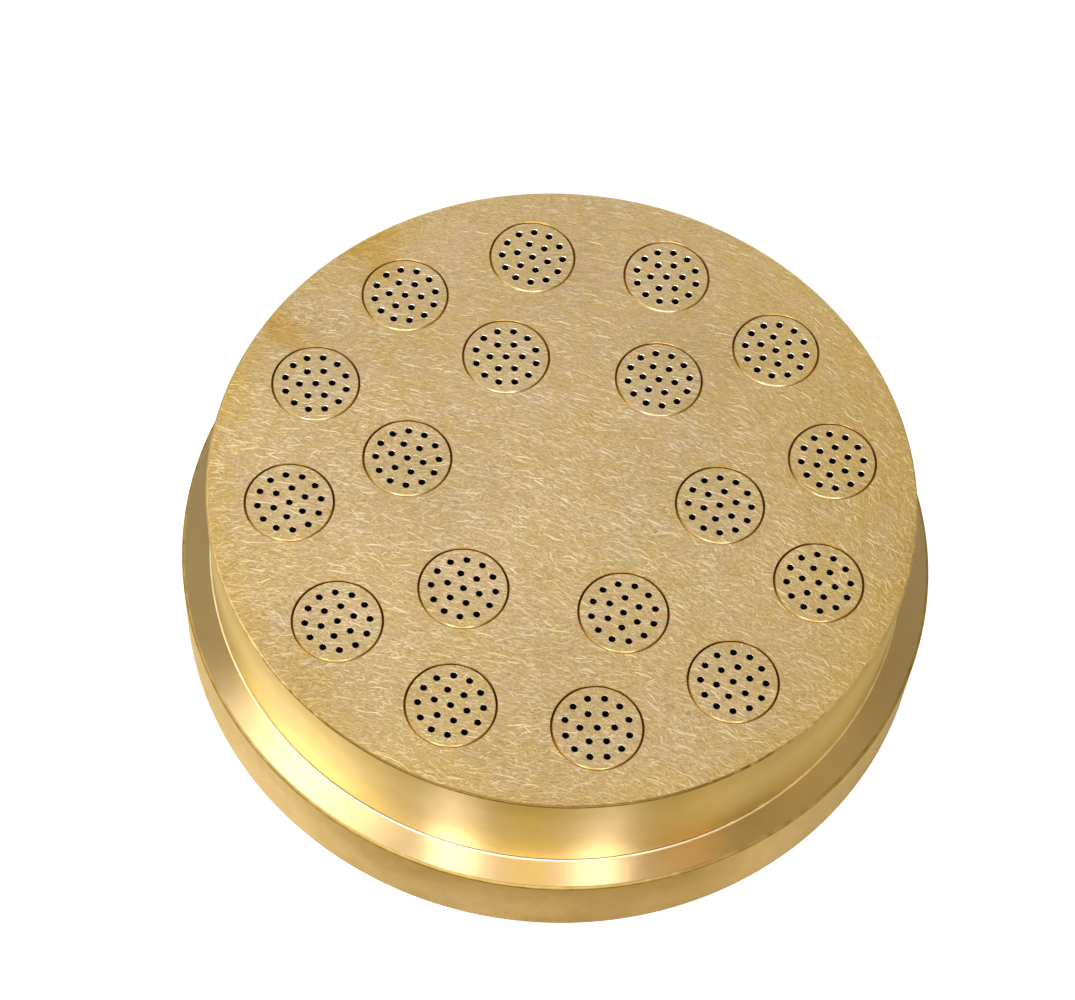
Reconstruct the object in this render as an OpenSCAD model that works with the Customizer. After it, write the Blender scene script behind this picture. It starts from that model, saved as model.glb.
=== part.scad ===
// Pasta extrusion die for fine strands.
// A turned brass body with a clamping flange on its dough side carries two
// rings of small inserts. Each insert is pushed in from the dough side, seats
// on a shoulder in the body, and ends flush with the strand face.
// Millimetres. The axis is Z, the back of the flange lies on Z = 0 and the
// strand face looks up.

/* [Body] */
// Diameter of the strand face and of the turned wall below it
face_d = 104; // [100:0.5:108]
// Diameter of the clamping flange
flange_d = 113; // [111:0.5:125]
// Height from the back of the flange to the strand face
die_h = 31; // [28:0.5:40]
// Thickness of the clamping flange
flange_h = 13; // [8:0.5:18]
// Bevel around the edge of the strand face
face_bevel = 0.4; // [0.1:0.1:1.5]
// Bevel around the flange's upper edge
flange_bevel = 0.7; // [0.1:0.1:2]
// Bevel around the flange's lower edge
foot_bevel = 0.5; // [0.1:0.1:2]
// Small slope left in the corner between the wall and the flange
corner_fill = 0.4; // [0.1:0.1:1.5]

/* [Insert positions] */
// Pitch circle of the outer ring of inserts
outer_pcd = 80; // [79:0.2:84]
// Pitch circle of the inner ring of inserts
inner_pcd = 46.2; // [42:0.2:47]

/* [Inserts] */
// Diameter of the insert's nose, as seen in the strand face
nose_d = 13; // [12:0.1:14]
// Length of the nose, from the shoulder to the strand face
nose_h = 5; // [3:0.1:8]
// Diameter of the insert's head
head_d = 16; // [15:0.1:16.4]
// Height of the insert's head
head_h = 3; // [2:0.1:6]
// Bevel around the insert's face, which shows as a fine ring
nose_bevel = 0.2; // [0.05:0.05:0.5]
// Bevel around the back of the insert's head
head_bevel = 0.4; // [0.1:0.1:1]
// Radial play of the insert's nose in its bore
nose_play = 0.01; // [0.01:0.01:0.05]
// Radial play of the insert's head in the dough inlet
head_play = 0.05; // [0.02:0.01:0.1]
// Bevel at the mouth of each dough inlet
inlet_bevel = 0.5; // [0.1:0.1:0.5]

/* [Strand holes] */
// Diameter of a strand hole at the face
strand_d = 1; // [0.6:0.05:1.2]
// Length of the narrow land of a strand hole
land_h = 2; // [1:0.1:2.6]
// Diameter of the feed hole behind each land
feed_d = 1.7; // [1.3:0.05:2]
// Included angle of the drill point between feed hole and land
drill_angle = 118; // [90:1:140]
// Hole circle of the six inner strand holes
ring_1_d = 4.85; // [4.6:0.05:5]
// Hole circle of the twelve outer strand holes
ring_2_d = 9.25; // [9.1:0.05:9.8]

/* [Hidden] */

// Number of inserts in each ring, and the angle of the first one
outer_n = 12;
outer_a0 = 15;
inner_n = 6;
inner_a0 = 0;

// Each insert is turned about its own axis as it happened to be fitted
outer_turn = [26, -16, 9, -10, 3, 12, 32, 29, -11, 10, 21, -7];
inner_turn = [21, -2, 10, -8, -12, 32];

insert_h = nose_h + head_h;
seat_z = die_h - nose_h;
insert_z = die_h - insert_h;
bore_d = nose_d + 2 * nose_play;
inlet_d = head_d + 2 * head_play;
point_h = (feed_d - strand_d) / 2 / tan(drill_angle / 2);
over = 1;

body_color = [0.78, 0.65, 0.42];
insert_color = [0.82, 0.70, 0.48];

function outer_angle(i) = outer_a0 + i * 360 / outer_n;
function inner_angle(i) = inner_a0 + i * 360 / inner_n;

// Half section of the body, before it is drilled
function body_section() = [
    [0, 0],
    [flange_d / 2 - foot_bevel, 0],
    [flange_d / 2, foot_bevel],
    [flange_d / 2, flange_h - flange_bevel],
    [flange_d / 2 - flange_bevel, flange_h],
    [face_d / 2 + corner_fill, flange_h],
    [face_d / 2, flange_h + corner_fill],
    [face_d / 2, die_h - face_bevel],
    [face_d / 2 - face_bevel, die_h],
    [0, die_h]
];

// Half section of an insert, from the back of its head to its face
function insert_section() = [
    [0, 0],
    [head_d / 2 - head_bevel, 0],
    [head_d / 2, head_bevel],
    [head_d / 2, head_h],
    [nose_d / 2, head_h],
    [nose_d / 2, insert_h - nose_bevel],
    [nose_d / 2 - nose_bevel, insert_h],
    [0, insert_h]
];

// Puts its children at every insert position
module at_inserts() {
    for (i = [0 : outer_n - 1])
        rotate(outer_angle(i)) translate([outer_pcd / 2, 0, 0]) children();
    for (i = [0 : inner_n - 1])
        rotate(inner_angle(i)) translate([inner_pcd / 2, 0, 0]) children();
}

// What is drilled out for one insert: inlet mouth, dough inlet and nose bore
module seat_cut() {
    translate([0, 0, -over])
        cylinder(d = bore_d, h = die_h + 2 * over, $fn = 96);
    translate([0, 0, -over])
        cylinder(d = inlet_d, h = seat_z + over, $fn = 96);
    translate([0, 0, -over])
        cylinder(d1 = inlet_d + 2 * (inlet_bevel + over), d2 = inlet_d,
                 h = inlet_bevel + over, $fn = 96);
}

// One strand hole: feed hole, drill point and land, from the insert's back
module strand_cut() {
    translate([0, 0, -over])
        cylinder(d = strand_d, h = insert_h + 2 * over, $fn = 32);
    translate([0, 0, -over])
        cylinder(d = feed_d, h = insert_h - land_h - point_h + over, $fn = 32);
    translate([0, 0, insert_h - land_h - point_h])
        cylinder(d1 = feed_d, d2 = strand_d, h = point_h, $fn = 32);
}

// One insert with its back on Z = 0 and its axis on Z
module insert() {
    difference() {
        rotate_extrude($fn = 96) polygon(insert_section());
        strand_cut();
        for (i = [0 : 5])
            rotate(60 * i) translate([ring_1_d / 2, 0, 0]) strand_cut();
        for (i = [0 : 11])
            rotate(15 + 30 * i) translate([ring_2_d / 2, 0, 0]) strand_cut();
    }
}

module die_body() {
    color(body_color)
        difference() {
            rotate_extrude($fn = 180) polygon(body_section());
            at_inserts() seat_cut();
        }
}

module insert_outer(k) {
    a = outer_angle(k - 1);
    color(insert_color)
        translate([outer_pcd / 2 * cos(a), outer_pcd / 2 * sin(a), insert_z])
            rotate(outer_turn[k - 1]) insert();
}

module insert_inner(k) {
    a = inner_angle(k - 1);
    color(insert_color)
        translate([inner_pcd / 2 * cos(a), inner_pcd / 2 * sin(a), insert_z])
            rotate(inner_turn[k - 1]) insert();
}

die_body();
insert_outer(1);  // insert_outer_01
insert_outer(2);  // insert_outer_02
insert_outer(3);  // insert_outer_03
insert_outer(4);  // insert_outer_04
insert_outer(5);  // insert_outer_05
insert_outer(6);  // insert_outer_06
insert_outer(7);  // insert_outer_07
insert_outer(8);  // insert_outer_08
insert_outer(9);  // insert_outer_09
insert_outer(10);  // insert_outer_10
insert_outer(11);  // insert_outer_11
insert_outer(12);  // insert_outer_12
insert_inner(1);  // insert_inner_01
insert_inner(2);  // insert_inner_02
insert_inner(3);  // insert_inner_03
insert_inner(4);  // insert_inner_04
insert_inner(5);  // insert_inner_05
insert_inner(6);  // insert_inner_06
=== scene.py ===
"""Looks of the brass die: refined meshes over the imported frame, procedural brass, soft studio light."""

import math

import bpy
import numpy as np
from mathutils import Matrix, Vector
from mathutils.geometry import delaunay_2d_cdt


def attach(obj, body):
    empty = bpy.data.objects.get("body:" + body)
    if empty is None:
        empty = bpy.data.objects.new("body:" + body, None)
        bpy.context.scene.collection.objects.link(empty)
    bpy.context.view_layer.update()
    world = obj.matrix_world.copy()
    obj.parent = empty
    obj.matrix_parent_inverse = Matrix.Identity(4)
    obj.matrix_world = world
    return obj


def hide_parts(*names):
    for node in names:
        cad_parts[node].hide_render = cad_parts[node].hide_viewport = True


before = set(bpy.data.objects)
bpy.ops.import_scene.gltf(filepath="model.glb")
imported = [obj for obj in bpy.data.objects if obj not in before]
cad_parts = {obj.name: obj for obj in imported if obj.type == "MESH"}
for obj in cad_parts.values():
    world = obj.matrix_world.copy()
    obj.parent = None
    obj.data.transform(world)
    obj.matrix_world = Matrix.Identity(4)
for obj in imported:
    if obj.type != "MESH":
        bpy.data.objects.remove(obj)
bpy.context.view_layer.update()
scene = bpy.context.scene
MM = 0.001

# ---------------------------------------------------------------- dimensions
# millimetres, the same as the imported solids
FACE_R, FLANGE_R, DIE_H, FLANGE_H = 52.0, 56.5, 31.0, 13.0
FACE_EDGE, FLANGE_EDGE, FOOT_EDGE, CORNER = 0.3, 0.45, 0.5, 0.34
OUTER_R, INNER_R = 40.0, 23.1
BORE_R, INLET_R, INLET_BEVEL, SEAT_Z = 6.51, 8.05, 0.5, 26.0
NOSE_R, NOSE_BEVEL, HEAD_R, HEAD_H, HEAD_BEVEL, BACK_Z = 6.5, 0.2, 8.0, 3.0, 0.4, 23.0
STRAND_R, LAND, FEED_R, POINT_H = 0.5, 2.0, 0.85, 0.21
RING_1, RING_2 = 2.425, 4.625
OUTER_TURN = [26, -16, 9, -10, 3, 12, 32, 29, -11, 10, 21, -7]
INNER_TURN = [21, -2, 10, -8, -12, 32]

SEATS = []
for i in range(12):
    a = math.radians(15 + 30 * i)
    SEATS.append((f"insert_outer_{i + 1:02d}", OUTER_R * math.cos(a), OUTER_R * math.sin(a), OUTER_TURN[i]))
for i in range(6):
    a = math.radians(60 * i)
    SEATS.append((f"insert_inner_{i + 1:02d}", INNER_R * math.cos(a), INNER_R * math.sin(a), INNER_TURN[i]))


# ---------------------------------------------------------------- mesh tools
class Shape:
    """A closed mesh built ring by ring, with exact corner normals and one map for flat pictures of it."""

    def __init__(self):
        self.co, self.faces, self.nor, self.mat, self.uv = [], [], [], [], []

    def ring(self, cx, cy, r, z, n, phase=0.0):
        start = len(self.co)
        for k in range(n):
            t = phase + 2 * math.pi * k / n
            self.co.append((cx + r * math.cos(t), cy + r * math.sin(t), z))
        return list(range(start, start + n))

    def face(self, idx, nor, mat, uv):
        a, b, c = (np.array(self.co[k]) for k in idx[:3])
        g = np.cross(b - a, c - a)
        if len(idx) == 4:
            g = g + np.cross(c - a, np.array(self.co[idx[3]]) - a)
        if g @ np.sum(nor, axis=0) < 0:
            idx, nor, uv = idx[::-1], nor[::-1], uv[::-1]
        self.faces.append(tuple(idx))
        self.nor.extend(nor)
        self.mat.append(mat)
        self.uv.extend(uv)

    def turn(self, cx, cy, line, n, mat_of, uv_of, phase=0.0, first=None, last=None):
        """Sweeps a half section about a vertical axis. line holds (r, z, normal before, normal after) for each point.
        Returns the first and the last ring. uv_of(step, share, r, z, angle) places a corner."""
        rings = []
        for k, (r, z, _, _) in enumerate(line):
            if k == 0 and first is not None:
                rings.append(first)
            elif k == len(line) - 1 and last is not None:
                rings.append(last)
            else:
                rings.append(self.ring(cx, cy, r, z, n, phase))
        for k in range(len(line) - 1):
            (r0, z0, _, n0), (r1, z1, n1, _) = line[k], line[k + 1]
            for i in range(n):
                j = (i + 1) % n
                t0, t1 = phase + 2 * math.pi * i / n, phase + 2 * math.pi * (i + 1) / n
                c0, s0, c1, s1 = math.cos(t0), math.sin(t0), math.cos(t1), math.sin(t1)
                self.face(
                    [rings[k][i], rings[k][j], rings[k + 1][j], rings[k + 1][i]],
                    [(n0[0] * c0, n0[0] * s0, n0[1]), (n0[0] * c1, n0[0] * s1, n0[1]),
                     (n1[0] * c1, n1[0] * s1, n1[1]), (n1[0] * c0, n1[0] * s0, n1[1])],
                    mat_of(k),
                    [uv_of(k, i / n, r0, z0, t0), uv_of(k, (i + 1) / n, r0, z0, t1),
                     uv_of(k + 1, (i + 1) / n, r1, z1, t1), uv_of(k + 1, i / n, r1, z1, t0)],
                )
        return rings[0], rings[-1]

    def flat(self, loops, up, mat, uv_xy):
        """Fills a level face between an outer loop and its holes."""
        pts, edges, back, owner = [], [], [], []
        for n, loop in enumerate(loops):
            s = len(pts)
            for v in loop:
                pts.append(Vector(self.co[v][:2]))
                back.append(v)
                owner.append(n)
            edges += [(s + k, s + (k + 1) % len(loop)) for k in range(len(loop))]
        _, _, tris, orig, _, _ = delaunay_2d_cdt(pts, edges, [], 1, 1e-6)
        for t in tris:
            own = {owner[orig[k][0]] for k in t}
            if len(own) == 1 and own != {0}:
                continue
            idx = [back[orig[k][0]] for k in t]
            self.face(idx, [(0, 0, up)] * 3, mat, [uv_xy(*self.co[v][:2]) for v in idx])

    def build(self, name, materials):
        me = bpy.data.meshes.new(name)
        me.from_pydata([tuple(c * MM for c in p) for p in self.co], [], self.faces)
        for m in materials:
            me.materials.append(m)
        me.polygons.foreach_set("material_index", np.array(self.mat, np.int32))
        me.polygons.foreach_set("use_smooth", np.ones(len(self.faces), bool))
        uv = me.uv_layers.new(name="OFBake")
        uv.data.foreach_set("uv", np.array(self.uv, np.float32).ravel())
        me.update()
        me.normals_split_custom_set([Vector(n).normalized() for n in self.nor])
        me.validate()
        o = bpy.data.objects.new(name, me)
        scene.collection.objects.link(o)
        return o


def arc(cx, cz, r, a0, a1, steps, outward=1):
    """Points of a rounded corner in the half section, with their normals."""
    out = []
    for k in range(steps + 1):
        a = math.radians(a0 + (a1 - a0) * k / steps)
        n = (outward * math.cos(a), outward * math.sin(a))
        out.append((cx + r * math.cos(a), cz + r * math.sin(a), n, n))
    return out


def straight(points):
    """A chain of straight lines in the half section, sharp at every point. points run so that the outside is on the right."""
    out = []
    for k, (r, z) in enumerate(points):
        def nrm(p, q):
            dx, dz = q[0] - p[0], q[1] - p[1]
            length = math.hypot(dx, dz)
            return (dz / length, -dx / length)
        before = nrm(points[k - 1], points[k]) if k else None
        after = nrm(points[k], points[k + 1]) if k < len(points) - 1 else None
        out.append((r, z, before or after, after or before))
    return out


# ---------------------------------------------------------------- shader tools
class Nodes:
    def __init__(self, mat):
        mat.use_nodes = True
        self.nt = mat.node_tree
        self.nt.nodes.clear()
        self.out = self.new("ShaderNodeOutputMaterial")

    def new(self, kind, **props):
        n = self.nt.nodes.new(kind)
        for k, v in props.items():
            setattr(n, k, v)
        return n

    def put(self, socket, value):
        if isinstance(value, bpy.types.NodeSocket):
            self.nt.links.new(value, socket)
        else:
            socket.default_value = value

    def math(self, op, a, b=0.0, c=0.0, clamp=False):
        n = self.new("ShaderNodeMath", operation=op, use_clamp=clamp)
        for s, v in zip(n.inputs, (a, b, c)):
            self.put(s, v)
        return n.outputs[0]

    def vec(self, op, a, b=(0, 0, 0), scale=1.0):
        n = self.new("ShaderNodeVectorMath", operation=op)
        self.put(n.inputs[0], a)
        if op == "SCALE":
            self.put(n.inputs["Scale"], scale)
        else:
            self.put(n.inputs[1], b)
        return n.outputs["Value"] if op in ("LENGTH", "DOT_PRODUCT", "DISTANCE") else n.outputs["Vector"]

    def split(self, v):
        n = self.new("ShaderNodeSeparateXYZ")
        self.put(n.inputs[0], v)
        return n.outputs

    def join(self, x, y, z=0.0):
        n = self.new("ShaderNodeCombineXYZ")
        for s, v in zip(n.inputs, (x, y, z)):
            self.put(s, v)
        return n.outputs[0]

    def noise(self, v, scale, detail=2.0, rough=0.5, dims="3D"):
        n = self.new("ShaderNodeTexNoise", noise_dimensions=dims)
        self.put(n.inputs["Vector"], v)
        self.put(n.inputs["Scale"], scale)
        self.put(n.inputs["Detail"], detail)
        self.put(n.inputs["Roughness"], rough)
        return n.outputs["Fac"] if "Fac" in n.outputs else n.outputs[0], n.outputs["Color"]

    def span(self, v, a, b, c=0.0, d=1.0, kind="LINEAR"):
        n = self.new("ShaderNodeMapRange", interpolation_type=kind)
        for s, x in zip(n.inputs[:5], (v, a, b, c, d)):
            self.put(s, x)
        return n.outputs[0]

    def mix(self, fac, a, b, blend="MIX"):
        n = self.new("ShaderNodeMix", data_type="RGBA", blend_type=blend)
        self.put(n.inputs[0], fac)
        for s, v in ((n.inputs[6], a), (n.inputs[7], b)):
            self.put(s, v if isinstance(v, bpy.types.NodeSocket) else (*v, 1.0))
        return n.outputs[2]

    def turned(self, v, angle):
        n = self.new("ShaderNodeVectorRotate", rotation_type="Z_AXIS")
        self.put(n.inputs["Vector"], v)
        self.put(n.inputs["Angle"], angle)
        return n.outputs[0]

    def strokes(self, place, cell, shift, angle, spread, half_len, half_wid, bend, keep):
        """Short curved hair strokes, one to each cell of a random net."""
        size = (cell * 1.45, cell * 0.72, 1.0)
        v = self.vec("ADD", self.vec("DIVIDE", place, size), (shift, shift * 0.37, 0.0))
        n = self.new("ShaderNodeTexVoronoi", voronoi_dimensions="2D", feature="F1")
        self.put(n.inputs["Vector"], v)
        self.put(n.inputs["Scale"], 1.0)
        self.put(n.inputs["Randomness"], 1.0)
        q = self.vec("MULTIPLY", self.vec("SUBTRACT", v, n.outputs["Position"]), size)
        c = self.new("ShaderNodeSeparateColor")
        self.put(c.inputs[0], n.outputs["Color"])
        r, g, b = c.outputs
        swing = self.math("MULTIPLY", self.math("SUBTRACT", r, 0.5), 2.0)
        swing = self.math("MULTIPLY", swing, self.math("ABSOLUTE", swing))
        way = self.math("ADD", angle, self.math("MULTIPLY", swing, spread))
        x, y, _ = self.split(self.turned(q, self.math("MULTIPLY", way, -1.0)))
        curl = self.math("MULTIPLY", self.math("SUBTRACT", g, 0.5), bend)
        off = self.math("ABSOLUTE", self.math("SUBTRACT", y, self.math("MULTIPLY", curl, self.math("MULTIPLY", x, x))))
        across = self.span(off, 0.25 * half_wid, half_wid, 1.0, 0.0)
        along = self.span(self.math("ABSOLUTE", x), 0.35 * half_len, half_len, 1.0, 0.0)
        strength = self.span(b, keep, 0.95, 0.0, 1.0)
        return self.math("MULTIPLY", self.math("MULTIPLY", across, along), strength)


def brass(name):
    m = bpy.data.materials.new(name)
    k = Nodes(m)
    k.bsdf = k.new("ShaderNodeBsdfPrincipled")
    k.bsdf.inputs["Metallic"].default_value = 1.0
    k.nt.links.new(k.bsdf.outputs[0], k.out.inputs["Surface"])
    k.mm = k.vec("SCALE", k.new("ShaderNodeTexCoord").outputs["Object"], scale=1000.0)
    return m, k


def sanded():
    """The hand-sanded strand face: short fine curved strokes over a satin ground, lightened in colour as a painted
    glint, with a few warm stains by the edge.
    """
    m, k = brass("brass_sanded")
    p = k.mm
    x, y, z = k.split(p)
    wob = k.noise(p, 0.35, 1.0)[1]
    pw = k.vec("ADD", p, k.vec("SCALE", k.vec("SUBTRACT", wob, (0.5, 0.5, 0.5)), scale=0.9))
    lay = k.noise(p, 0.045, 1.0)[0]
    angle = k.math("ADD", k.math("MULTIPLY", x, -0.0032), k.math("MULTIPLY_ADD", lay, 0.9, -0.57))
    angle = k.math("SUBTRACT", angle, k.span(x, 22.0, 52.0, 0.0, 0.38, "SMOOTHSTEP"))
    lean = 0.12
    pl = k.turned(pw, lean)
    way = k.math("ADD", angle, lean)
    calm = k.span(y, -10.0, 36.0, 1.0, 0.45)
    strokes_and_glint = dull = None
    # Light strokes: sanding marks, lightened in colour as a painted glint.
    for n, (cell, shift, spread, half_len, half_wid, bend, keep, amp) in enumerate((
        (2.5, 3.1, 0.42, 2.60, 0.122, 0.17, 0.40, 1.00),
        (1.9, 17.3, 0.55, 1.90, 0.116, 0.30, 0.36, 1.00),
        (1.15, 41.7, 0.85, 0.96, 0.104, 0.75, 0.32, 0.95),
        (0.88, 67.9, 1.00, 0.72, 0.098, 1.05, 0.20, 0.84),
        (0.66, 83.3, 1.20, 0.52, 0.094, 1.40, 0.10, 0.72),
    )):
        herd = k.span(k.noise(k.vec("ADD", p, (shift * 9.0, shift * 5.0, 0.0)), 0.22, 2.0)[0], 0.36, 0.64, 0.22, 1.0)
        s = k.strokes(pl, cell, shift, way, k.math("MULTIPLY", calm, spread), half_len, half_wid, bend, keep)
        s = k.math("MULTIPLY", k.math("MULTIPLY", s, amp), herd)
        strokes_and_glint = s if strokes_and_glint is None else k.math("MAXIMUM", strokes_and_glint, s)
    for cell, shift, spread, half_len, half_wid, bend, keep, amp in (
        (1.6, 131.1, 0.55, 1.40, 0.105, 0.50, 0.20, 1.0),
        (1.2, 151.9, 0.75, 1.00, 0.095, 0.80, 0.10, 0.9),
        (0.75, 173.3, 1.00, 0.55, 0.085, 1.50, 0.10, 0.9),
    ):
        s = k.math("MULTIPLY", k.strokes(pl, cell, shift, way, spread, half_len, half_wid, bend, keep), amp)
        dull = s if dull is None else k.math("MAXIMUM", dull, s)
    grain_at = k.vec("MULTIPLY", k.turned(pw, k.math("MULTIPLY", angle, -1.0)), (0.9, 5.0, 1.0))
    grain = k.noise(grain_at, 1.0, 3.0, 0.65)[0]
    hair_at = k.vec("MULTIPLY", k.turned(pw, k.math("SUBTRACT", 0.22, angle)), (1.5, 7.5, 1.0))
    hair = k.noise(hair_at, 1.0, 2.0, 0.6)[0]
    strokes_and_glint = k.math("MAXIMUM", strokes_and_glint, k.span(hair, 0.56, 0.76, 0.0, 0.55))
    fog = k.noise(p, 0.06, 4.0, 0.6)[0]
    blot = k.noise(p, 0.26, 2.0, 0.55)[0]
    tint = k.mix(k.span(k.math("MULTIPLY_ADD", blot, 0.55, k.math("MULTIPLY", fog, 0.45)), 0.36, 0.64), (0.594, 0.444, 0.151), (0.625, 0.467, 0.231))
    drift = k.math("MULTIPLY", k.math("SUBTRACT", fog, 0.5), 40.0)
    gold = k.span(k.math("ADD", drift, x), 8.0, 48.0, 0.0, 1.0, "SMOOTHSTEP")
    gold = k.math("MAXIMUM", gold, k.span(k.math("ADD", drift, y), 30.0, -50.0, 0.0, 0.75))
    dust = k.noise(k.vec("MULTIPLY", pl, (2.6, 6.0, 1.0)), 1.0, 2.0, 0.6)[0]
    tone = k.math("MULTIPLY_ADD", k.math("SUBTRACT", grain, 0.5), 0.95, 0.98)
    tone = k.math("MULTIPLY", tone, k.math("MULTIPLY_ADD", k.math("SUBTRACT", dust, 0.5), 0.90, 1.0))
    tone = k.math("MULTIPLY", tone, k.math("MULTIPLY_ADD", dull, -0.26, 1.02))
    # Painted light: the face is made up to 3% lighter towards the back.
    tone = k.math("MULTIPLY", tone, k.span(y, -48.0, 48.0, 1.0, 1.03))
    base = k.vec("SCALE", tint, scale=tone)
    # Painted glint: the stroke lightening is stronger towards the viewer's side and thinned out towards the back.
    front_glint_boost = k.span(y, 5.0, 42.0, 1.28, 1.07)
    least = k.span(y, -5.0, 36.0, 0.0, 0.24)
    strokes_and_glint = k.math("DIVIDE", k.math("SUBTRACT", strokes_and_glint, least), k.math("SUBTRACT", 1.0, least), clamp=True)
    base = k.mix(k.math("MULTIPLY", strokes_and_glint, front_glint_boost, clamp=True), base, (1.0, 0.90, 0.575))
    base = k.mix(gold, base, k.mix(1.0, base, (1.03, 0.985, 0.76), "MULTIPLY"))
    rag = k.noise(p, 0.30, 4.0, 0.6)[0]
    r = k.math("SQRT", k.math("ADD", k.math("MULTIPLY", x, x), k.math("MULTIPLY", y, y)))
    # A golden tint along the face edge, stronger at the front and the left.
    wear_and_glint = k.span(k.math("MULTIPLY_ADD", k.math("SUBTRACT", rag, 0.5), 16.0, r), 45.5, 53.0, 0.0, 1.0, "SMOOTHSTEP")
    side = k.math("ADD", k.span(y, 35.0, -5.0, 0.10, 0.55, "SMOOTHSTEP"), k.span(x, -25.0, -48.0, 0.0, 0.35))
    wear_and_glint = k.math("MULTIPLY", wear_and_glint, side)
    base = k.mix(wear_and_glint, base, k.mix(1.0, base, (1.02, 0.955, 0.66), "MULTIPLY"))
    stain = None
    for sx, sy, turn, long, wide, depth in (
        (-35.0, 37.2, 0.72, 8.0, 5.2, 1.0), (-32.0, 33.4, 0.2, 6.0, 4.2, 0.75),
        (-45.0, 19.0, -0.70, 7.5, 3.6, 0.85), (-50.6, 7.0, 1.45, 7.0, 1.0, 0.45), (-50.9, -6.0, 1.60, 6.0, 0.8, 0.4),
    ):
        q = k.turned(k.vec("SUBTRACT", p, (sx, sy, 0.0)), -turn)
        q = k.vec("MULTIPLY", q, (1.0 / long, 1.0 / wide, 0.0))
        far = k.math("MULTIPLY_ADD", k.math("SUBTRACT", rag, 0.5), 1.6, k.vec("LENGTH", q))
        spot = k.math("MULTIPLY", k.span(far, 1.05, 0.35, 0.0, 1.0, "SMOOTHSTEP"), depth)
        stain = spot if stain is None else k.math("MAXIMUM", stain, spot)
    base = k.mix(stain, base, k.mix(1.0, base, (0.95, 0.845, 0.50), "MULTIPLY"))
    k.nt.links.new(base, k.bsdf.inputs["Base Color"])
    k.put(k.bsdf.inputs["Roughness"], k.span(grain, 0.2, 0.8, 0.40, 0.48))
    k.bsdf.inputs["Anisotropic"].default_value = 0.5
    k.nt.links.new(k.turned((0.0, 1.0, 0.0), angle), k.bsdf.inputs["Tangent"])
    bump = k.new("ShaderNodeBump")
    bump.inputs["Strength"].default_value = 0.25
    bump.inputs["Distance"].default_value = 0.00002
    k.put(bump.inputs["Height"], grain)
    k.nt.links.new(bump.outputs[0], k.bsdf.inputs["Normal"])
    return m


def turned(name, colour_a, colour_b, rough, aniso, marks, painted_top_shade=0.0, mottle=0.04, lines=0.07, top=DIE_H, deep=7.0, ahead=0.0):
    """Lathe-turned brass: fine rings around the axis, which draw reflections out along the section.
    The argument after marks paints shade: it darkens the brass within deep of the height top, and ahead keeps that
    painted shade to the viewer's side;
    mottle clouds it, lines sets how the rings show."""
    m, k = brass(name)
    p = k.mm
    x, y, z = k.split(p)
    r = k.math("SQRT", k.math("ADD", k.math("MULTIPLY", x, x), k.math("MULTIPLY", y, y)))
    fog = k.noise(p, 0.06, 3.0, 0.55)[0]
    base = k.mix(k.span(fog, 0.35, 0.65), colour_a, colour_b)
    across = k.math("ADD", r, k.math("MULTIPLY", z, 1.37))
    rings = k.noise(k.join(k.math("MULTIPLY", across, 3.2), 0.0, k.math("MULTIPLY", fog, 0.6)), 1.0, 2.0, 0.6, "2D")[0]
    base = k.mix(k.span(rings, 0.3, 0.7), k.vec("SCALE", base, scale=1.0 - lines), base)
    cloud = k.noise(p, 0.35, 5.0, 0.65)[0]
    base = k.vec("SCALE", base, scale=k.span(cloud, 0.3, 0.7, 1.0 - mottle, 1.0 + 0.5 * mottle))
    # Painted shade: darker towards the top edge, standing in for the bounce light the lower part gets; ahead holds it
    # to the viewer's side.
    if painted_top_shade:
        rag = k.noise(p, 0.25, 3.0, 0.6)[0]
        high = k.span(k.math("MULTIPLY_ADD", k.math("SUBTRACT", rag, 0.5), 0.7 * deep, z), top - deep, top, 0.0, painted_top_shade, "SMOOTHSTEP")
        high = k.math("MULTIPLY", high, k.span(y, -40.0, -54.0, 1.0 - ahead, 1.0))
        base = k.mix(high, base, k.mix(1.0, base, (0.72, 0.66, 0.42), "MULTIPLY"))
    k.nt.links.new(base, k.bsdf.inputs["Base Color"])
    k.put(k.bsdf.inputs["Roughness"], k.span(fog, 0.3, 0.7, rough, rough + 0.04))
    k.bsdf.inputs["Anisotropic"].default_value = aniso
    around = k.vec("CROSS_PRODUCT", (0, 0, 1), k.join(x, y, 0.0))
    along = k.vec("CROSS_PRODUCT", k.new("ShaderNodeNewGeometry").outputs["True Normal"], around)
    k.nt.links.new(k.vec("NORMALIZE", along), k.bsdf.inputs["Tangent"])
    bump = k.new("ShaderNodeBump")
    bump.inputs["Strength"].default_value = marks
    bump.inputs["Distance"].default_value = 0.00001
    k.put(bump.inputs["Height"], rings)
    k.nt.links.new(bump.outputs[0], k.bsdf.inputs["Normal"])
    return m


def plain_brass(name, dark, light, rough, scale):
    m, k = brass(name)
    fog = k.noise(k.mm, scale, 3.0, 0.6)[0]
    k.nt.links.new(k.mix(k.span(fog, 0.3, 0.7), dark, light), k.bsdf.inputs["Base Color"])
    k.put(k.bsdf.inputs["Roughness"], k.span(fog, 0.3, 0.7, rough, rough + 0.10))
    return m


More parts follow.
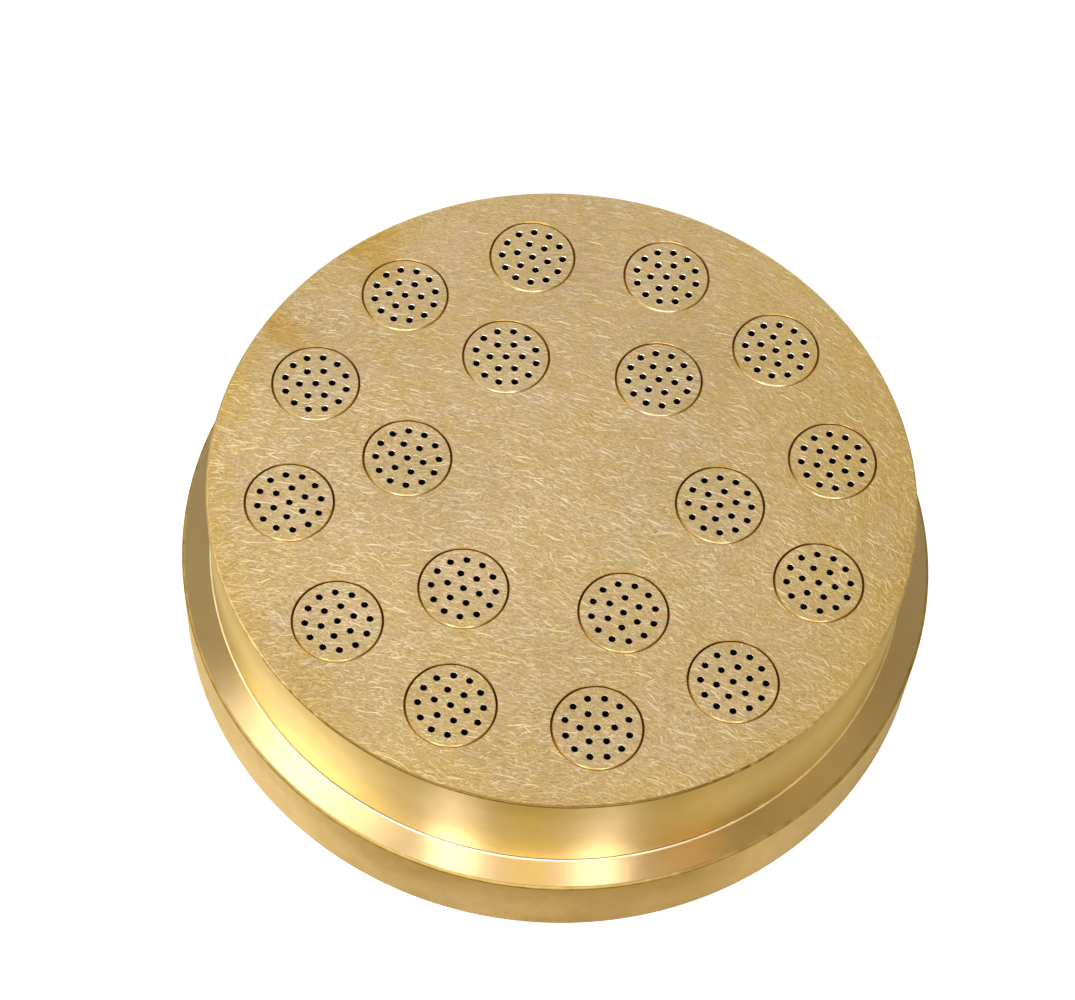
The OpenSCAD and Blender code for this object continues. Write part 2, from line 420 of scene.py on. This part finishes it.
def edge_brass(name, front, other, rough, y0=-30.0, y1=-46.0):
    """An edge in two brass tones, with painted shade: darker towards the viewer's side, from y0 to y1."""
    m, k = brass(name)
    x, y, z = k.split(k.mm)
    rag = k.noise(k.mm, 0.7, 4.0, 0.65)[0]
    # Painted shade: the front tone takes over towards the viewer's side.
    painted_front_shade = k.span(k.math("MULTIPLY_ADD", k.math("SUBTRACT", rag, 0.5), 26.0, y), y0, y1, 0.0, 1.0, "SMOOTHSTEP")
    base = k.mix(painted_front_shade, other, front)
    base = k.vec("SCALE", base, scale=k.span(rag, 0.3, 0.7, 0.78, 1.15))
    k.nt.links.new(base, k.bsdf.inputs["Base Color"])
    k.put(k.bsdf.inputs["Roughness"], k.span(rag, 0.3, 0.7, rough, rough + 0.1))
    return m


def ring_groove(name):
    """The bevelled ring around an insert: dark brown, partly residue and partly painted groove shade; painted shade
    darkens its far side further, and a painted glint lightens the side towards the viewer, most on the far inserts.
    """
    m, k = brass(name)
    uv = k.new("ShaderNodeUVMap", uv_map="OFBake").outputs[0]
    u, v, _ = k.split(uv)
    a = k.math("MULTIPLY", k.math("SUBTRACT", u, 0.02), 2 * math.pi / 0.96)
    near = k.math("MULTIPLY", k.math("SINE", a), -1.0)
    x, y, z = k.split(k.mm)
    rag = k.noise(k.mm, 0.9, 3.0, 0.6)[0]
    # Painted glint on the near side of each ring, strongest on the far inserts.
    wear_and_glint = k.span(k.math("MULTIPLY_ADD", k.math("SUBTRACT", rag, 0.5), 0.7, near), 0.62, 0.90, 0.0, 1.0, "SMOOTHSTEP")
    wear_and_glint = k.math("MULTIPLY", wear_and_glint, k.span(y, -22.0, 12.0, 0.40, 1.0, "SMOOTHSTEP"))
    dark = k.mix(k.span(rag, 0.35, 0.65), (0.20, 0.098, 0.008), (0.42, 0.24, 0.030))
    # Painted shade: the far side of the ring darker, the near side a lighter brown.
    dark = k.mix(k.span(near, -0.45, 0.55, 0.0, 1.0, "SMOOTHSTEP"), dark, (0.66, 0.42, 0.045))
    k.nt.links.new(k.mix(wear_and_glint, dark, (0.70, 0.55, 0.185)), k.bsdf.inputs["Base Color"])
    k.put(k.bsdf.inputs["Roughness"], k.span(rag, 0.3, 0.7, 0.29, 0.38))
    return m


SANDED = sanded()
# The wall: painted shade under the face edge, all around.
TURNED = turned("brass_turned", (0.92, 0.730, 0.246), (0.95, 0.757, 0.282), 0.31, 1.0, 0.06, 0.5)
LEDGE = turned("brass_ledge", (0.90, 0.720, 0.335), (0.93, 0.750, 0.372), 0.30, 1.0, 0.04, lines=0.035)
# The rim: painted shade along its top, mostly on the viewer's side.
RIM = turned("brass_rim", (0.82, 0.625, 0.216), (0.93, 0.735, 0.300), 0.38, 0.80, 0.08, 0.60, 0.08, top=FLANGE_H, deep=10.0, ahead=0.85)
# Face edge and upper corner fillet: dark on the viewer's side as painted shade.
EDGE = edge_brass("brass_edge", (0.27, 0.165, 0.026), (0.84, 0.620, 0.190), 0.40)
# Painted highlight: a lighter brass line along the lower half of the wall-to-ledge corner fillet.
CORNER_HIGHLIGHT = plain_brass("brass_corner", (0.88, 0.74, 0.32), (1.0, 0.88, 0.46), 0.42, 0.4)
FLANGE_LINE = plain_brass("brass_flange_edge", (0.39, 0.260, 0.046), (0.60, 0.420, 0.100), 0.46, 0.5)
BORED = turned("brass_bored", (0.66, 0.46, 0.19), (0.78, 0.56, 0.25), 0.36, 0.5, 0.25)
GROOVE = ring_groove("brass_groove")
# Bore lip: darker on the viewer's half as painted shade.
LIP = edge_brass("brass_lip", (0.31, 0.170, 0.020), (0.56, 0.345, 0.058), 0.29, 38.0, 0.0)
WORN = plain_brass("brass_worn", (0.94, 0.78, 0.42), (1.0, 0.88, 0.54), 0.15, 1.5)
# Painted shade: the strand holes' land walls are near black so the holes read dark.
HOLE = plain_brass("brass_hole", (0.05, 0.035, 0.015), (0.09, 0.06, 0.03), 0.5, 2.0)

# ---------------------------------------------------------------- body
N_BODY, N_BORE = 384, 96
body = Shape()


def top_uv(x, y):
    return (0.41 + x * 0.80 / 113.6, 0.59 + y * 0.80 / 113.6)


def under_uv(x, y):
    return (0.91 + x * 0.155 / 113.6, 0.91 + y * 0.155 / 113.6)


section = (
    arc(FACE_R - FACE_EDGE, DIE_H - FACE_EDGE, FACE_EDGE, 90, 0, 8)
    + arc(FACE_R + CORNER, FLANGE_H + CORNER, CORNER, 180, 270, 8, -1)
    + arc(FLANGE_R - FLANGE_EDGE, FLANGE_H - FLANGE_EDGE, FLANGE_EDGE, 90, 0, 8)
    + arc(FLANGE_R - FOOT_EDGE, FOOT_EDGE, FOOT_EDGE, 0, -90, 6)
)


N_EDGE = 8
WALL_STEP, LEDGE_STEP, RIM_STEP = N_EDGE, 2 * N_EDGE + 1, 3 * N_EDGE + 2


def outer_uv_for(k):
    """The island of step k of the outer section."""
    if k < N_EDGE:
        return "top"
    if k <= WALL_STEP:
        return "wall"
    if k < RIM_STEP:
        return "top"
    if k == RIM_STEP:
        return "rim"
    return "under"


def outer_mat(k):
    """The brass of step k of the outer section."""
    if k < WALL_STEP:
        return 5
    if k == WALL_STEP:
        return 1
    if k == LEDGE_STEP:
        return 8
    if k < LEDGE_STEP:
        # Corner fillet: upper steps take the edge brass, dark on the viewer's side as painted shade; lower steps the
        # painted highlight line.
        return 5 if k < WALL_STEP + 4 else 6
    return 7 if k < RIM_STEP else 4


def place(island, share, r, z, t):
    if island == "top":
        return top_uv(r * math.cos(t), r * math.sin(t))
    if island == "wall":
        return (0.01 + 0.80 * share, 0.08 + 0.07 * (z - FLANGE_H) / (DIE_H - FLANGE_H))
    if island == "rim":
        return (0.01 + 0.80 * share, 0.01 + 0.055 * z / FLANGE_H)
    return under_uv(r * math.cos(t), r * math.sin(t))


def sweep_outer():
    rings = [body.ring(0, 0, r, z, N_BODY) for r, z, _, _ in section]
    for k in range(len(section) - 1):
        (r0, z0, _, n0), (r1, z1, n1, _) = section[k], section[k + 1]
        if k == WALL_STEP:
            n0 = n1 = (1, 0)
        if k == LEDGE_STEP:
            n0 = n1 = (0, 1)
        if k == RIM_STEP:
            n0 = n1 = (1, 0)
        island = outer_uv_for(k)
        for i in range(N_BODY):
            j = (i + 1) % N_BODY
            t0, t1 = 2 * math.pi * i / N_BODY, 2 * math.pi * (i + 1) / N_BODY
            c0, s0, c1, s1 = math.cos(t0), math.sin(t0), math.cos(t1), math.sin(t1)
            a, b = i / N_BODY, (i + 1) / N_BODY
            body.face(
                [rings[k][i], rings[k][j], rings[k + 1][j], rings[k + 1][i]],
                [(n0[0] * c0, n0[0] * s0, n0[1]), (n0[0] * c1, n0[0] * s1, n0[1]),
                 (n1[0] * c1, n1[0] * s1, n1[1]), (n1[0] * c0, n1[0] * s0, n1[1])],
                outer_mat(k),
                [place(island, a, r0, z0, t0), place(island, b, r0, z0, t1),
                 place(island, b, r1, z1, t1), place(island, a, r1, z1, t0)],
            )
    return rings[0], rings[-1]


top_ring, under_ring = sweep_outer()
top_holes, under_holes = [], []
for s, (_, cx, cy, _) in enumerate(SEATS):
    v0 = 0.01 + 0.80 * s / 18
    lip = 0.11
    line = straight([
        (BORE_R + lip, DIE_H), (BORE_R, DIE_H - lip), (BORE_R, DIE_H - 0.6), (BORE_R, SEAT_Z), (INLET_R, SEAT_Z),
        (INLET_R, INLET_BEVEL), (INLET_R + INLET_BEVEL, 0.0),
    ])
    lengths = [0.0]
    for (r0, z0, _, _), (r1, z1, _, _) in zip(line, line[1:]):
        lengths.append(lengths[-1] + math.hypot(r1 - r0, z1 - z0))

    def bore_uv(step, share, r, z, t, v0=v0, lengths=lengths):
        return (0.835 + 0.155 * share, v0 + 0.041 * lengths[step] / lengths[-1])

    a, b = body.turn(cx, cy, line, N_BORE, lambda k: 3 if k < 2 else 2, bore_uv)
    top_holes.append(a)
    under_holes.append(b)
body.flat([top_ring] + top_holes, 1, 0, top_uv)
body.flat([under_ring] + under_holes, -1, 1, under_uv)
o = body.build("die_body_turned", [SANDED, TURNED, BORED, LIP, RIM, EDGE, CORNER_HIGHLIGHT, FLANGE_LINE, LEDGE])
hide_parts("die_body")
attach(o, "root")

# ---------------------------------------------------------------- inserts
N_NOSE, N_HOLE = 96, 24


def make_insert(name, cx, cy, turn):
    s = Shape()

    def face_uv(x, y):
        return (0.33 + (x - cx) * 0.62 / 13.1, 0.67 + (y - cy) * 0.62 / 13.1)

    def back_uv(x, y):
        return (0.83 + (x - cx) * 0.31 / 16.1, 0.83 + (y - cy) * 0.31 / 16.1)

    line = straight([
        (HEAD_R - HEAD_BEVEL, BACK_Z), (HEAD_R, BACK_Z + HEAD_BEVEL), (HEAD_R, SEAT_Z), (NOSE_R, SEAT_Z),
        (NOSE_R, DIE_H - 0.24), (NOSE_R - 0.24, DIE_H),
    ])
    lengths = [0.0]
    for (r0, z0, _, _), (r1, z1, _, _) in zip(line, line[1:]):
        lengths.append(lengths[-1] + math.hypot(r1 - r0, z1 - z0))

    def side_uv(step, share, r, z, t):
        return (0.02 + 0.96 * share, 0.02 + 0.13 * lengths[step] / lengths[-1])

    back, rim = s.turn(cx, cy, line, N_NOSE, lambda k: 1 if k == 4 else 2, side_uv)
    spots = [(0.0, 0.0)]
    for k in range(6):
        a = math.radians(turn + 60 * k)
        spots.append((RING_1 * math.cos(a), RING_1 * math.sin(a)))
    for k in range(12):
        a = math.radians(turn + 15 + 30 * k)
        spots.append((RING_2 * math.cos(a), RING_2 * math.sin(a)))
    outlets, feeds = [], []
    mouth = 0.04 + 0.13 * min(1.0, max(0.0, (cy + 12.0) / 45.0))
    for n, (dx, dy) in enumerate(spots):
        hole = arc(STRAND_R + mouth, DIE_H - mouth, mouth, 90, 180, 4) + straight([
            (STRAND_R, DIE_H - mouth), (STRAND_R, DIE_H - LAND), (FEED_R, DIE_H - LAND - POINT_H),
            (FEED_R, BACK_Z + 0.1), (FEED_R + 0.1, BACK_Z),
        ])[1:]
        v0 = 0.19 + 0.44 * n / 19
        steps = [0.0, 0.03, 0.06, 0.09, 0.12, 0.45, 0.55, 0.95, 1.0]

        def hole_uv(step, share, r, z, t, v0=v0, steps=steps):
            return (0.68 + 0.30 * share, v0 + 0.021 * steps[step])

        a, b = s.turn(cx + dx, cy + dy, hole, N_HOLE, lambda k: 4 if k < 4 else (3 if k < 6 else 2), hole_uv)
        outlets.append(a)
        feeds.append(b)
    s.flat([rim] + outlets, 1, 0, face_uv)
    s.flat([back] + feeds, -1, 2, back_uv)
    o = s.build(name + "_turned", [SANDED, GROOVE, BORED, HOLE, WORN])
    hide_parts(name)
    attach(o, "root")
    return o


for name, cx, cy, turn in SEATS:
    make_insert(name, cx, cy, turn)

# ---------------------------------------------------------------- floor, light, camera
def plane(name, size, z):
    me = bpy.data.meshes.new(name)
    me.from_pydata([(-size, -size, z), (size, -size, z), (size, size, z), (-size, size, z)], [], [(0, 1, 2, 3)])
    o = bpy.data.objects.new(name, me)
    scene.collection.objects.link(o)
    return o


YAW = math.radians(4.0)
floor = plane("floor", 4.0, 0.0)
mat = bpy.data.materials.new("floor_white")
k = Nodes(mat)
glow = k.new("ShaderNodeEmission")
glow.inputs["Color"].default_value = (1, 1, 1, 1)
under = k.vec("LENGTH", k.new("ShaderNodeTexCoord").outputs["Object"])
# Painted shadow: the floor's glow and colour drop under the die, seen only through the strand holes.
k.put(glow.inputs["Strength"], k.span(under, 0.0525, 0.0545, 0.01, 0.86))
matt = k.new("ShaderNodeBsdfDiffuse")
k.put(matt.inputs["Color"], k.span(under, 0.0525, 0.0545, 0.02, 0.5))
add = k.new("ShaderNodeAddShader")
k.nt.links.new(glow.outputs[0], add.inputs[0])
k.nt.links.new(matt.outputs[0], add.inputs[1])
k.nt.links.new(add.outputs[0], k.out.inputs["Surface"])
floor.data.materials.append(mat)
floor.visible_diffuse = floor.visible_glossy = floor.visible_shadow = False

table = plane("floor_bounce", 4.0, -0.0004)
mat = bpy.data.materials.new("floor_bounce")
k = Nodes(mat)
matt = k.new("ShaderNodeBsdfDiffuse")
face_on = k.vec("NORMALIZE", k.new("ShaderNodeTexCoord").outputs["Object"])
front = k.vec("DOT_PRODUCT", face_on, (math.sin(YAW), -math.cos(YAW), 0.0))
right = k.vec("DOT_PRODUCT", face_on, (math.cos(YAW), math.sin(YAW), 0.0))
# Painted shadow and warm brass bounce light on this reflection-only floor in front of the die, and painted shade
# towards the right.
shade = k.mix(k.span(front, 0.75, 1.0, kind="SMOOTHSTEP"), (0.69, 0.65, 0.42), (0.34, 0.270, 0.050))
k.nt.links.new(k.vec("SCALE", shade, scale=k.span(right, 0.35, 0.90, 1.0, 0.80, "SMOOTHSTEP")), matt.inputs["Color"])
k.nt.links.new(matt.outputs[0], k.out.inputs["Surface"])
table.data.materials.append(mat)
table.visible_camera = False



def softbox(name, az, el, dist, wide, high, radiance, colour=(1, 1, 1), aim=(0, 0, 0.02)):
    """A rectangular soft light. az is measured from the viewer's side, to the right; el above the horizon."""
    a, e = math.radians(az), math.radians(el)
    d = Vector((math.sin(a) * math.cos(e), -math.cos(a) * math.cos(e), math.sin(e)))
    d = Matrix.Rotation(YAW, 3, "Z") @ d
    lamp = bpy.data.lights.new(name, "AREA")
    lamp.shape, lamp.size, lamp.size_y = "RECTANGLE", wide, high
    lamp.energy = radiance * math.pi * wide * high
    lamp.color = colour
    o = bpy.data.objects.new(name, lamp)
    o.location = Vector(aim) + d * dist
    o.rotation_mode = "QUATERNION"
    o.rotation_quaternion = (-d).to_track_quat("-Z", "Y")
    scene.collection.objects.link(o)
    return o


COOL = (0.96, 1.0, 1.95)
softbox("light_left", -60, 38, 0.9, 0.40, 0.9, 0.9, (0.96, 1.0, 2.25))
softbox("light_front_left", -20, 36, 1.0, 0.13, 1.0, 8.6, COOL)
softbox("light_front_right", 18.5, 36, 1.0, 0.15, 1.0, 6.2, COOL)
softbox("light_gold", 0, 36, 1.0, 0.20, 1.0, 1.3, (1.0, 0.84, 0.36))
softbox("light_warm", 44, 36, 1.0, 0.03, 1.0, 3.4, (1.0, 0.45, 0.12))
softbox("light_right", 80, 30, 1.0, 0.45, 0.6, 0.45, (1.0, 0.95, 0.92))
softbox("light_back", 178, 36, 1.0, 0.70, 0.35, 1.45, (1.0, 1.0, 1.12))
softbox("light_top", -84, 63, 1.1, 0.44, 0.42, 6.7, (1.0, 0.97, 1.15))
softbox("light_sky", -10, 80, 1.1, 0.80, 0.80, 0.48, (1.0, 0.99, 0.94))

world = bpy.data.worlds.new("studio")
scene.world = world
world.use_nodes = True
nt = world.node_tree
nt.nodes.clear()
wo = nt.nodes.new("ShaderNodeOutputWorld")
room = nt.nodes.new("ShaderNodeBackground")
room.inputs["Strength"].default_value = 1.0
way = nt.nodes.new("ShaderNodeTexCoord")
side = nt.nodes.new("ShaderNodeVectorMath")
side.operation = "DOT_PRODUCT"
side.inputs[1].default_value = (0.87, -0.50, 0.0)
nt.links.new(way.outputs["Generated"], side.inputs[0])
share = nt.nodes.new("ShaderNodeMapRange")
share.inputs[1].default_value, share.inputs[2].default_value = -0.9, 0.9
nt.links.new(side.outputs["Value"], share.inputs[0])
shade = nt.nodes.new("ShaderNodeMix")
shade.data_type = "RGBA"
shade.inputs[6].default_value = (0.40, 0.390, 0.43, 1)
shade.inputs[7].default_value = (0.30, 0.240, 0.15, 1)
nt.links.new(share.outputs[0], shade.inputs[0])
nt.links.new(shade.outputs[2], room.inputs["Color"])
nt.links.new(room.outputs[0], wo.inputs["Surface"])

cam = bpy.data.cameras.new("camera")
cam.lens, cam.sensor_width, cam.sensor_fit = 98.257, 36.0, "AUTO"
cam.clip_start, cam.clip_end = 0.01, 20.0
co = bpy.data.objects.new("camera", cam)
right = Vector((0.9881195, 0.1468119, 0.0454545))
upward = Vector((-0.1495829, 0.8508073, 0.5037380))
back = Vector((0.0352818, -0.5045525, 0.8626598))
co.matrix_world = Matrix((
    (right.x, upward.x, back.x, 0.01179185),
    (right.y, upward.y, back.y, -0.21908741),
    (right.z, upward.z, back.z, 0.39912491),
    (0, 0, 0, 1),
))
scene.collection.objects.link(co)
scene.camera = co
scene.view_settings.view_transform = "Standard"
scene.view_settings.look = "None"
